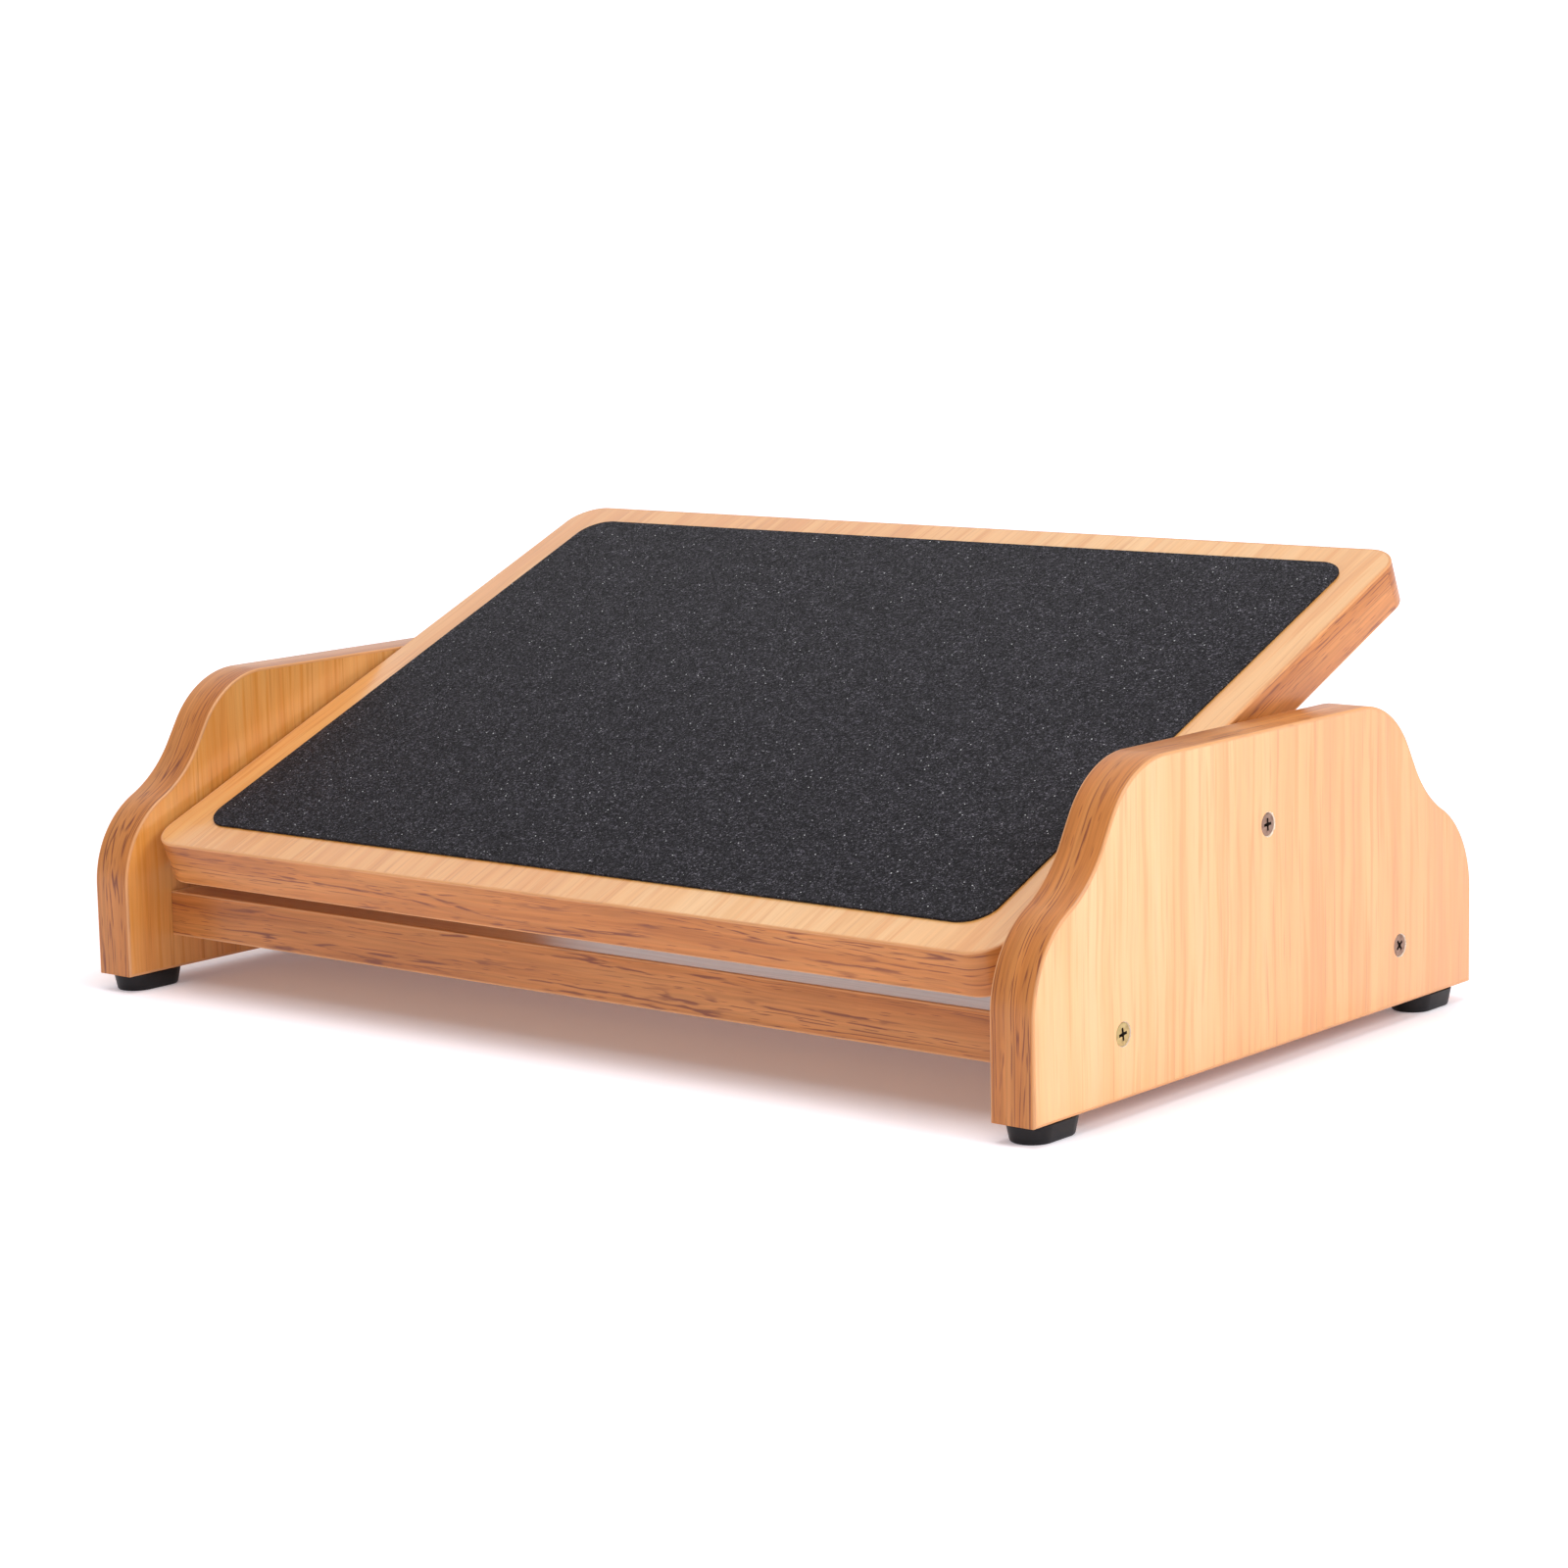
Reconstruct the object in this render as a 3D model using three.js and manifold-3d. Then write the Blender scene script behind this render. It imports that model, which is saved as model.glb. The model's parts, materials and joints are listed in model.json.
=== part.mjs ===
// Slant board: two ogee-cut side panels joined by two flat rails, and a gripped
// tread board that tilts between them on a pair of pivot screws.
//
// Millimetres, +Z up. The origin is on the floor, midway between the side panels
// and midway between their front and rear edges. +X runs to the right-hand panel
// and +Y to the rear. The tread is drawn with its front edge down.

import * as THREE from 'three';
import { mergeVertices } from 'three/addons/utils/BufferGeometryUtils.js';
import { ConvexGeometry } from 'three/addons/geometries/ConvexGeometry.js';
import Module from 'manifold-3d';

// ---------------------------------------------------------------- driving sizes

const overallWidth = 460;        // over the outer faces of the side panels

const edging = 1;                // edge strip glued round every cut edge
const glueLine = 0.15;           // gap left for glue between two joined faces

const panelThickness = 18;
const panelDepth = 286;
const panelHeight = 115.5;
const lowerRound = 38;           // convex round above the straight front edge
const hollowRound = 50;          // concave round in the middle of the curve
const shoulderRound = 38;        // convex round under the level top edge
const hollowStartSlope = 27;     // degrees from level where the hollow begins
const hollowEndSlope = 59;       // degrees from level where the hollow ends
const steepRun = 10;             // straight between the hollow and the shoulder

const railThickness = 18;
const railWidth = 57;
const railSetback = 23.5;        // panel's front edge to the rail's front edge
const railUnderside = 13.6;      // panel's bottom edge to the rail's underside

const treadThickness = 18;
const treadLength = 288;
const treadCorner = 14;          // radius of the tread's corners, seen from above
const treadSideGap = 4;          // tread's side edge to the panel's inner face
const treadTilt = 22.8;          // degrees, front edge down
const pivotHeight = 81.5;        // above the panel's bottom edge
const pivotFromTreadFront = 135; // along the tread

const battenThickness = 18;
const battenWidth = 57;
const battenScrewSpread = [-140, -50, 50, 140];

const gripThickness = 0.8;
const gripCorner = 12;
const gripFrontMargin = 16.5;
const gripRearMargin = 13.5;
const gripSideMargin = 16;

const footHeight = 7;
const footRoundSpacing = 11.5;   // between the centres of the foot's round ends
const footDraft = 1.25;          // how much narrower each side is at the floor
const footFromPanelFront = 17;   // panel's front edge to the front foot's centre
const footFromPanelRear = 22;    // panel's rear edge to the rear foot's centre

const dowelRadius = 4;
const dowelLength = 30;
const dowelPanelDepth = 10;      // how far a dowel goes into the side panel
const dowelOffset = 16;          // to each side of the rail's screw
const dowelEndGap = 0.75;        // left past each end of a dowel for glue
const dowelClearance = 0.15;

const spacerRadius = 8;
const spacerSideGap = 0.2;       // on each face of the spacer

const screwClearance = 0.25;     // between a screw and the bore around it
const headSink = 0.2;            // how far a countersunk head sits below the face
const recessWidth = 1.1;
const recessDepth = 1.7;

const longScrew = { head: 4.15, shank: 2.15, length: 50, tip: 6 };
const pivotScrew = { head: 4.15, shank: 2.15, length: 60, tip: 6 };
const battenScrew = { head: 3.8, shank: 1.9, length: 30, tip: 5 };
const footScrew = { head: 3.2, shank: 1.6, length: 15, tip: 4, headHeight: 2 };
const footScrewHeadDepth = 3.2;  // floor to the underside of the foot screw's head

const arcSteps = 6;              // half the straight pieces in each round of a panel
const cornerSteps = 3;           // half the straight pieces in each corner
const boreSides = 16;

// ------------------------------------------------------------------ worked out

const innerHalf = overallWidth / 2 - panelThickness;
const panelMiddle = (overallWidth - panelThickness) / 2;
const treadWidth = 2 * (innerHalf - treadSideGap);
const railLength = 2 * innerHalf;
const railMiddleY = panelDepth / 2 - railSetback - railWidth / 2;
const railMiddleZ = footHeight + railUnderside + railThickness / 2;
const footFrontY = footFromPanelFront - panelDepth / 2;
const footRearY = panelDepth / 2 - footFromPanelRear;

// ------------------------------------------------------------------- materials

const finishes = {
  laminate: { color: 0xf4c793, roughness: 0.45, metalness: 0 },
  edging: { color: 0xbf7f55, roughness: 0.5, metalness: 0 },
  grip: { color: 0x3f4145, roughness: 0.95, metalness: 0 },
  rubber: { color: 0x1b1a1d, roughness: 0.6, metalness: 0 },
  brass: { color: 0xb59a58, roughness: 0.35, metalness: 0.9 },
  steel: { color: 0x9a9690, roughness: 0.35, metalness: 0.9 },
  beech: { color: 0xd9b184, roughness: 0.7, metalness: 0 },
  nylon: { color: 0x2a2a2c, roughness: 0.55, metalness: 0 },
};

function piece(name, geometry, finish, place = [0, 0, 0]) {
  const mesh = new THREE.Mesh(geometry, new THREE.MeshStandardMaterial(finishes[finish]));
  mesh.name = name;
  mesh.position.set(...place);
  return mesh;
}

// ----------------------------------------------------------- solids and shaping

const wasm = await Module();
wasm.setup();

function toSolid(geometry) {
  const bare = geometry.clone();
  bare.deleteAttribute('normal');
  bare.deleteAttribute('uv');
  const merged = mergeVertices(bare, 1e-4);
  const corners = merged.index.array;
  const triangles = [];
  for (let i = 0; i < corners.length; i += 3) {
    const [a, b, c] = [corners[i], corners[i + 1], corners[i + 2]];
    if (a !== b && b !== c && c !== a) triangles.push(a, b, c);
  }
  return new wasm.Manifold(new wasm.Mesh({
    numProp: 3,
    vertProperties: new Float32Array(merged.attributes.position.array),
    triVerts: new Uint32Array(triangles),
  }));
}

function toGeometry(solid) {
  const mesh = solid.getMesh();
  const geometry = new THREE.BufferGeometry();
  geometry.setAttribute('position', new THREE.BufferAttribute(mesh.vertProperties, 3));
  geometry.setIndex(new THREE.BufferAttribute(mesh.triVerts, 1));
  geometry.computeVertexNormals();
  return geometry;
}

function cut(blank, cutters) {
  let solid = toSolid(blank);
  for (const cutter of cutters) solid = solid.subtract(toSolid(cutter));
  return toGeometry(solid);
}

// Turns a geometry drawn along +Z so that it runs along another direction.
const heading = {
  up: new THREE.Matrix4(),
  down: new THREE.Matrix4().makeRotationX(Math.PI),
  right: new THREE.Matrix4().makeRotationY(Math.PI / 2),
  left: new THREE.Matrix4().makeRotationY(-Math.PI / 2),
};

function aim(geometry, direction, place = [0, 0, 0]) {
  return geometry.applyMatrix4(heading[direction]).translate(...place);
}

// A turned solid: [radius, height] pairs that start and end on the axis, which is +Z.
function turned(profile, sides = boreSides) {
  const points = profile.map(([radius, height]) => new THREE.Vector2(radius, height));
  return new THREE.LatheGeometry(points, sides).rotateX(Math.PI / 2);
}

function rod(radius, low, high, sides = boreSides) {
  return turned([[0, low], [radius, low], [radius, high], [0, high]], sides);
}

function bar(width, depth, low, high) {
  return new THREE.BoxGeometry(width, depth, high - low).translate(0, 0, (low + high) / 2);
}

function slab(shape, thickness) {
  return new THREE.ExtrudeGeometry(shape, { depth: thickness, bevelEnabled: false });
}

// The corners of a path, with those that repeat where two rounds meet taken out.
function cornersOf(path, steps) {
  return path.getPoints(steps).filter((point, i, all) => point.distanceTo(all.at(i - 1)) > 1e-6);
}

function roundedRectangle(width, length, radius) {
  const [x, y] = [width / 2 - radius, length / 2 - radius];
  const path = new THREE.Path();
  path.absarc(x, -y, radius, -Math.PI / 2, 0);
  path.absarc(x, y, radius, 0, Math.PI / 2);
  path.absarc(-x, y, radius, Math.PI / 2, Math.PI);
  path.absarc(-x, -y, radius, Math.PI, 1.5 * Math.PI);
  return cornersOf(path, cornerSteps);
}

// A ring between two outlines drawn the same way round.
function ring(outer, inner, thickness) {
  const shape = new THREE.Shape(outer);
  shape.holes.push(new THREE.Path(inner.reverse()));
  return slab(shape, thickness);
}

// ------------------------------------------------------------------ the screws

// Points along +Z out of the face it is driven into, with the top of its head at 0.
function countersunkScrew({ head, shank, length, tip }) {
  const body = turned([
    [0, -length], [shank, tip - length], [shank, shank - head], [head, 0], [0, 0],
  ]);
  return cut(body, crossRecess(head));
}

// A pan head stands on the face: its underside is at 0.
function panHeadScrew({ head, shank, length, tip, headHeight }) {
  const rim = 0.6 * headHeight;
  const crown = 0.7 * head;
  const body = turned([
    [0, -length], [shank, tip - length], [shank, 0], [head, 0], [head, rim],
    [crown, headHeight], [0, headHeight],
  ]);
  return cut(body, crossRecess(head).map((blade) => blade.translate(0, 0, headHeight)));
}

function crossRecess(head) {
  const reach = 1.15 * head;
  return [
    bar(reach, recessWidth, -recessDepth, 1),
    bar(recessWidth, reach, -recessDepth, 1),
  ];
}

// The bore and countersink that a countersunk screw sits in, open at the face.
function countersunkBore({ head, shank, length }) {
  const bore = shank + screwClearance;
  const seat = head + screwClearance;
  return turned([
    [0, -length - headSink - 1], [bore, -length - headSink - 1], [bore, bore - seat - headSink],
    [seat, -headSink], [seat, 1], [0, 1],
  ]);
}

// ------------------------------------------------------------- the side panels

// The outline of a side panel, moved inwards by a distance, as [y, z] from the
// middle of its bottom edge. Its front half is drawn and then mirrored.
function panelOutline(inwards) {
  const rad = THREE.MathUtils.degToRad;
  const lowerTurn = rad(90 + hollowStartSlope);
  const steep = rad(hollowEndSlope);
  const at = (centre, radius, angle) => new THREE.Vector2(
    centre.x + radius * Math.cos(angle), centre.y + radius * Math.sin(angle));

  const lower = new THREE.Vector2(lowerRound - panelDepth / 2, 0);
  const hollow = at(lower, lowerRound + hollowRound, lowerTurn);
  const hollowEnd = at(hollow, hollowRound, steep - Math.PI / 2);
  const shoulder = at(at(hollowEnd, steepRun, steep), shoulderRound, steep - Math.PI / 2);
  const rise = panelHeight - shoulderRound - shoulder.y;
  for (const centre of [lower, hollow, shoulder]) centre.y += rise;

  const half = new THREE.Path();
  half.moveTo(inwards - panelDepth / 2, inwards);
  half.lineTo(inwards - panelDepth / 2, rise);
  half.absarc(lower.x, lower.y, lowerRound - inwards, Math.PI, lowerTurn, true);
  half.absarc(hollow.x, hollow.y, hollowRound + inwards, lowerTurn - Math.PI, steep - Math.PI / 2);
  half.absarc(shoulder.x, shoulder.y, shoulderRound - inwards, steep + Math.PI / 2, Math.PI / 2, true);
  const front = cornersOf(half, arcSteps);
  const rear = front.map((point) => new THREE.Vector2(-point.x, point.y)).reverse();
  return [...front, ...rear];
}

// Stands a slab drawn in the [y, z] plane up, with its thickness along +X.
const standing = new THREE.Matrix4().makeBasis(
  new THREE.Vector3(0, 1, 0), new THREE.Vector3(0, 0, 1), new THREE.Vector3(1, 0, 0));

function stand(geometry, side) {
  const start = side.sign > 0 ? innerHalf : -overallWidth / 2;
  return geometry.applyMatrix4(standing).translate(start, 0, footHeight);
}

const sides = [
  { name: 'left', sign: -1, outwards: 'left' },
  { name: 'right', sign: 1, outwards: 'right' },
];
const railEnds = [
  { name: 'front', sign: -1 },
  { name: 'rear', sign: 1 },
];
const footPlaces = [
  { name: 'front', y: footFrontY },
  { name: 'rear', y: footRearY },
];
const pivotZ = footHeight + pivotHeight;

function railScrewPlace(side, rail) {
  return [side.sign * overallWidth / 2, rail.sign * railMiddleY, railMiddleZ];
}

function dowelPlaces(side, rail) {
  return [-1, 1].map((hand) => [
    side.sign * innerHalf, rail.sign * railMiddleY + hand * dowelOffset, railMiddleZ,
  ]);
}

// A dowel drawn along +Z from inside the rail to inside the panel, whose face is at 0.
function dowelRod(radius, endGap) {
  return rod(radius, dowelPanelDepth - dowelLength - endGap, dowelPanelDepth + endGap, 12);
}

function sidePanel(side) {
  const blank = stand(slab(new THREE.Shape(panelOutline(edging + glueLine)), panelThickness), side);
  const cutters = [
    aim(countersunkBore(pivotScrew), side.outwards, [side.sign * overallWidth / 2, 0, pivotZ]),
  ];
  for (const rail of railEnds) {
    cutters.push(aim(countersunkBore(longScrew), side.outwards, railScrewPlace(side, rail)));
    for (const place of dowelPlaces(side, rail)) {
      cutters.push(aim(dowelRod(dowelRadius + dowelClearance, dowelEndGap), side.outwards, place));
    }
  }
  for (const foot of footPlaces) {
    cutters.push(footScrewBore(side, foot));
  }
  return piece(`side_panel_${side.name}`, cut(blank, cutters), 'laminate');
}

function sideEdging(side) {
  const strip = stand(ring(panelOutline(0), panelOutline(edging), panelThickness), side);
  const holes = footPlaces.map((foot) => footScrewBore(side, foot));
  return piece(`side_edging_${side.name}`, cut(strip, holes), 'edging');
}

// --------------------------------------------------------------- feet and screws

function footScrewBore(side, foot) {
  const top = footScrewHeadDepth + footScrew.length + 1;
  const bore = rod(footScrew.shank + screwClearance, footScrewHeadDepth - 1, top, 12);
  return bore.translate(side.sign * panelMiddle, foot.y, 0);
}

function foot(side, { name, y }) {
  const topRadius = panelThickness / 2;
  const loops = [[topRadius - footDraft, 0], [topRadius, footHeight - glueLine]];
  const points = [];
  for (const [radius, z] of loops) {
    for (const point of roundedRectangle(2 * radius, footRoundSpacing + 2 * radius, radius - 0.01)) {
      points.push(new THREE.Vector3(point.x, point.y, z));
    }
  }
  const counterbore = rod(footScrew.head + screwClearance, -1, footScrewHeadDepth);
  const bore = rod(footScrew.shank + screwClearance, 0, footHeight + 1, 12);
  const geometry = cut(new ConvexGeometry(points), [counterbore, bore]);
  return piece(`foot_${name}_${side.name}`, geometry, 'rubber', [side.sign * panelMiddle, y, 0]);
}

function footFixing(side, { name, y }) {
  const height = footScrewHeadDepth - glueLine;
  const screw = aim(panHeadScrew(footScrew), 'down');
  return piece(`foot_screw_${name}_${side.name}`, screw, 'steel', [side.sign * panelMiddle, y, height]);
}

// -------------------------------------------------------------------- the rails

// A flat board along X with an edge strip on its front and rear edges. Its middle
// is at 0, and the strips are as thick and as long as the board.
function flatBoard(length, width, thickness) {
  const core = width - 2 * (edging + glueLine);
  return bar(length, core, -thickness / 2, thickness / 2);
}

function longEdgings(name, length, width, thickness, place) {
  return railEnds.map((end) => piece(
    `${name}_edging_${end.name}`,
    bar(length, edging, -thickness / 2, thickness / 2),
    'edging',
    [place[0], place[1] + end.sign * (width - edging) / 2, place[2]],
  ));
}

function crossRail(rail) {
  const length = railLength - 2 * glueLine;
  const place = [0, rail.sign * railMiddleY, railMiddleZ];
  const blank = flatBoard(length, railWidth, railThickness).translate(...place);
  const cutters = [];
  for (const side of sides) {
    cutters.push(aim(countersunkBore(longScrew), side.outwards, railScrewPlace(side, rail)));
    for (const dowel of dowelPlaces(side, rail)) {
      cutters.push(aim(dowelRod(dowelRadius + dowelClearance, dowelEndGap), side.outwards, dowel));
    }
  }
  const name = `${rail.name}_rail`;
  return [
    piece(name, cut(blank, cutters), 'laminate'),
    ...longEdgings(name, length, railWidth, railThickness, place),
  ];
}

function railFixings(side, rail) {
  const name = `${rail.name}_${side.name}`;
  const [x, y, z] = railScrewPlace(side, rail);
  const screw = aim(countersunkScrew(longScrew), side.outwards);
  const finish = rail.name === 'front' ? 'brass' : 'steel';
  const dowels = dowelPlaces(side, rail).map((place, i) => piece(
    `dowel_${name}_${i + 1}`, aim(dowelRod(dowelRadius, 0), side.outwards), 'beech', place));
  return [piece(`rail_screw_${name}`, screw, finish, [x - side.sign * headSink, y, z]), ...dowels];
}

// ----------------------------------------------------- the tread and its pivot

// Everything here turns with the tread: the pivot is at 0 and the tread is level.

const battenTop = battenThickness / 2;
const treadUnderside = battenTop + glueLine;
const treadTop = treadUnderside + treadThickness;
const treadMiddleY = treadLength / 2 - pivotFromTreadFront;
const battenLength = treadWidth;

function treadBoard() {
  const inset = edging + glueLine;
  const outline = roundedRectangle(treadWidth - 2 * inset, treadLength - 2 * inset, treadCorner - inset);
  const blank = slab(new THREE.Shape(outline), treadThickness).translate(0, treadMiddleY, treadUnderside);
  return piece('tread_board', cut(blank, battenScrewBores()), 'laminate');
}

function treadEdging() {
  const strip = ring(
    roundedRectangle(treadWidth, treadLength, treadCorner),
    roundedRectangle(treadWidth - 2 * edging, treadLength - 2 * edging, treadCorner - edging),
    treadThickness,
  );
  return piece('tread_edging', strip, 'edging', [0, treadMiddleY, treadUnderside]);
}

function gripSheet() {
  const length = treadLength - gripFrontMargin - gripRearMargin;
  const outline = roundedRectangle(treadWidth - 2 * gripSideMargin, length, gripCorner);
  const middleY = treadMiddleY + (gripFrontMargin - gripRearMargin) / 2;
  return piece('grip_sheet', slab(new THREE.Shape(outline), gripThickness), 'grip',
    [0, middleY, treadTop + glueLine]);
}

function battenScrewBores() {
  return battenScrewSpread.map((x) => aim(countersunkBore(battenScrew), 'down', [x, 0, -battenTop]));
}

function pivotBatten() {
  const bores = sides.map((side) => aim(
    countersunkBore(pivotScrew), side.outwards, [side.sign * overallWidth / 2, 0, 0]));
  const blank = flatBoard(battenLength, battenWidth, battenThickness);
  return [
    piece('pivot_batten', cut(blank, [...bores, ...battenScrewBores()]), 'laminate'),
    ...longEdgings('batten', battenLength, battenWidth, battenThickness, [0, 0, 0]),
  ];
}

function battenFixings() {
  return battenScrewSpread.map((x, i) => piece(
    `batten_screw_${i + 1}`, aim(countersunkScrew(battenScrew), 'down'), 'steel',
    [x, 0, headSink - battenTop]));
}

function pivotFixings(side) {
  const screw = aim(countersunkScrew(pivotScrew), side.outwards);
  const spacer = aim(cut(
    rod(spacerRadius, spacerSideGap, treadSideGap - spacerSideGap, 24),
    [rod(pivotScrew.shank + screwClearance, -1, treadSideGap + 1)],
  ), side.outwards);
  return [
    piece(`pivot_screw_${side.name}`, screw, 'steel', [side.sign * (overallWidth / 2 - headSink), 0, 0]),
    piece(`pivot_spacer_${side.name}`, spacer, 'nylon', [side.sign * treadWidth / 2, 0, 0]),
  ];
}

// --------------------------------------------------------------------- assembly

const base = new THREE.Group();
for (const side of sides) {
  base.add(sidePanel(side), sideEdging(side));
  for (const place of footPlaces) base.add(foot(side, place), footFixing(side, place));
  for (const rail of railEnds) base.add(...railFixings(side, rail));
}
for (const rail of railEnds) base.add(...crossRail(rail));

const tread = new THREE.Group();
tread.position.z = pivotZ;
tread.rotation.x = THREE.MathUtils.degToRad(treadTilt);
tread.add(treadBoard(), treadEdging(), gripSheet(), ...pivotBatten(), ...battenFixings());
for (const side of sides) tread.add(...pivotFixings(side));

const slantBoard = new THREE.Group();
slantBoard.add(base, tread);

export default slantBoard;
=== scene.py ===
"""A wooden slant board: two shaped side panels, two cross rails and a tread that tilts between them."""
import json
import math
import random

import bmesh
import bpy
from mathutils import Matrix, Vector


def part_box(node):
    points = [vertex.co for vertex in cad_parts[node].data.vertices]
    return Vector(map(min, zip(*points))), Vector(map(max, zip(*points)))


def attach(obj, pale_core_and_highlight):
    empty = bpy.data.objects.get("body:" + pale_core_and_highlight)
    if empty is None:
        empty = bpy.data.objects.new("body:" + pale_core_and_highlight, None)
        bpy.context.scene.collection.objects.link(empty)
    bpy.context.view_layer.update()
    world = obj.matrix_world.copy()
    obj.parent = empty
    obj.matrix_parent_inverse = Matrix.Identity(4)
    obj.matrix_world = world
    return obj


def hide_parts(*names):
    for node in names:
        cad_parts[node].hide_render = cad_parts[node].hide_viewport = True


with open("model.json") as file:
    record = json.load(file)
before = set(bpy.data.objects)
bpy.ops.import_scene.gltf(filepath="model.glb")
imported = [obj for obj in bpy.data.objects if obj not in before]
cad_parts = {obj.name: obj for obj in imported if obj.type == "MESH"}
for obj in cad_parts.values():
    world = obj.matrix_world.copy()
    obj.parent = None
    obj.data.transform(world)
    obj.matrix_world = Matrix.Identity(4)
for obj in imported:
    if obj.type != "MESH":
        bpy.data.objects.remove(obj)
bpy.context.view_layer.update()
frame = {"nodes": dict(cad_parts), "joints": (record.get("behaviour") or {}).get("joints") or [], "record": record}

# ------------------------------------------------------------------ side panels
# Two upright panels sawn from 18 mm board and faced with a pale, straight-grained
# wood print. Each is drilled through its outer face for two rail screws and the
# pivot screw; the drill leaves the raw core showing round the heads.

MM = 0.001
STRIP = 1.0 * MM            # thickness of the strip glued round every cut edge
SEAM = 0.02 * MM            # between a board and its strip
SCREW_SHANK = 2.15 * MM
SCREW_HEAD = 4.15 * MM
HEAD_SINK = 0.2 * MM        # how far a head sits below the face
RAIL_SCREW_LENGTH = 50 * MM
PIVOT_SCREW_LENGTH = 60 * MM
BORE_GAP = 0.25 * MM        # round a screw, all the way down
CHIPS = {"front": 0.12 * MM, "rear": 0.4 * MM, "pivot": 0.45 * MM}    # how far the drill broke the facing
CHIP_SEEDS = {"front": 5, "rear": 6, "pivot": 3}

LOWER_ROUND = 38 * MM
HOLLOW_ROUND = 50 * MM
SHOULDER_ROUND = 38 * MM
HOLLOW_START = math.radians(27)
HOLLOW_END = math.radians(59)
STEEP_RUN = 10 * MM
CURVE_STEPS = 26
CRISP_CORNER = math.radians(32)    # a sharper corner than this keeps its edge

TONE_DRIFT = 11.0           # the print's slow change of tone, in radians per metre
# Where each panel is cut from the print; the right panel's spot puts the orange end of the drift at its rear, a
# painted shade where less light falls.
CUT_FROM = {"left": (0.631, 0.30), "right": (0.262, 0.0)}

SIDES = {"left": -1, "right": 1}
ENDS = {"front": -1, "rear": 1}

panel_low, panel_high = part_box("side_edging_left")
BOARD = panel_high.x - panel_low.x
PANEL_DEPTH = panel_high.y - panel_low.y
PANEL_HEIGHT = panel_high.z - panel_low.z
OUTER_X = -panel_low.x
INNER_X = -panel_high.x


def arc(centre, radius, start, end, steps=CURVE_STEPS):
    """Points round a centre from one angle to another, both ends included."""
    angles = [start + (end - start) * i / steps for i in range(steps + 1)]
    return [(centre[0] + radius * math.cos(a), centre[1] + radius * math.sin(a)) for a in angles]


def panel_outline(inset):
    """The ogee, moved inwards by a distance: the front half, then the same mirrored."""
    up, steep = HOLLOW_START + math.pi / 2, HOLLOW_END - math.pi / 2
    x1, y1 = LOWER_ROUND - PANEL_DEPTH / 2, 0.0
    reach = LOWER_ROUND + HOLLOW_ROUND
    x2, y2 = x1 + reach * math.cos(up), y1 + reach * math.sin(up)
    x3 = x2 + (HOLLOW_ROUND + SHOULDER_ROUND) * math.cos(steep) + STEEP_RUN * math.cos(HOLLOW_END)
    y3 = y2 + (HOLLOW_ROUND + SHOULDER_ROUND) * math.sin(steep) + STEEP_RUN * math.sin(HOLLOW_END)
    rise = PANEL_HEIGHT - SHOULDER_ROUND - y3
    half = [(inset - PANEL_DEPTH / 2, inset)]
    half += arc((x1, y1 + rise), LOWER_ROUND - inset, math.pi, up)
    half += arc((x2, y2 + rise), HOLLOW_ROUND + inset, up - math.pi, steep)
    half += arc((x3, y3 + rise), SHOULDER_ROUND - inset, steep + math.pi, math.pi / 2)
    return half + [(-x, y) for x, y in reversed(half)]


def new_piece(name, shape, place, material):
    """A mesh object from a bmesh, with its faces out and smooth up to its real corners."""
    bmesh.ops.recalc_face_normals(shape, faces=shape.faces)
    mesh = bpy.data.meshes.new(name)
    shape.to_mesh(mesh)
    shape.free()
    mesh.materials.append(material)
    mesh.shade_smooth()
    mesh.set_sharp_from_angle(angle=CRISP_CORNER)
    piece = bpy.data.objects.new(name, mesh)
    bpy.context.scene.collection.objects.link(piece)
    piece.matrix_world = place
    return piece


def skin(rings, closed_along=False, caps=False, uv=None):
    """Faces between closed rings of points, each ring joined to the next."""
    shape = bmesh.new()
    rows = [[shape.verts.new(point) for point in ring] for ring in rings]
    layer = shape.loops.layers.uv.new("grain") if uv else None
    around = len(rings[0])
    for i in range(len(rows) if closed_along else len(rows) - 1):
        for j in range(around):
            corners = [(i, j), (i + 1, j), (i + 1, j + 1), (i, j + 1)]
            face = shape.faces.new([rows[a % len(rows)][b % around] for a, b in corners])
            if uv:
                for loop, (a, b) in zip(face.loops, corners):
                    loop[layer].uv = (uv[0][a], uv[1][b])
    if caps:
        for row in (rows[0], rows[-1]):
            face = shape.faces.new(row)
            if uv:
                for loop, v in zip(face.loops, uv[1]):
                    loop[layer].uv = (uv[0][0], v)
    return shape


def slab(name, outline, bottom, top, place, cut_from):
    """A faced board drawn in X and Y, thick along Z, cut from its own spot on the printed sheet."""
    across, along = cut_from
    rings = [[(x + across, y + along, z) for x, y in outline] for z in (bottom, top)]
    from_spot = Matrix.Translation((-across, -along, 0))
    return new_piece(name, skin(rings, caps=True), place @ from_spot, face_wood)


def carve(piece, cutters):
    """Cuts each cutter out of the piece and throws the cutters away."""
    for cutter in cutters:
        cut = piece.modifiers.new("cut", "BOOLEAN")
        cut.object = cutter
        cut.operation = "DIFFERENCE"
        cut.solver = "EXACT"
        cut.material_mode = "TRANSFER"
    bpy.context.view_layer.update()
    carved = bpy.data.meshes.new_from_object(piece.evaluated_get(bpy.context.evaluated_depsgraph_get()))
    piece.modifiers.clear()
    piece.data = carved
    carved.set_sharp_from_angle(angle=CRISP_CORNER)
    for cutter in cutters:
        bpy.data.objects.remove(cutter)


def node(tree, kind, inputs=None, **settings):
    """Adds one shader node; an input may be a value or another node's output."""
    made = tree.nodes.new("ShaderNode" + kind)
    for key, value in settings.items():
        setattr(made, key, value)
    for key, value in (inputs or {}).items():
        if isinstance(value, bpy.types.NodeSocket):
            tree.links.new(value, made.inputs[key])
        else:
            made.inputs[key].default_value = value
    return made


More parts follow.
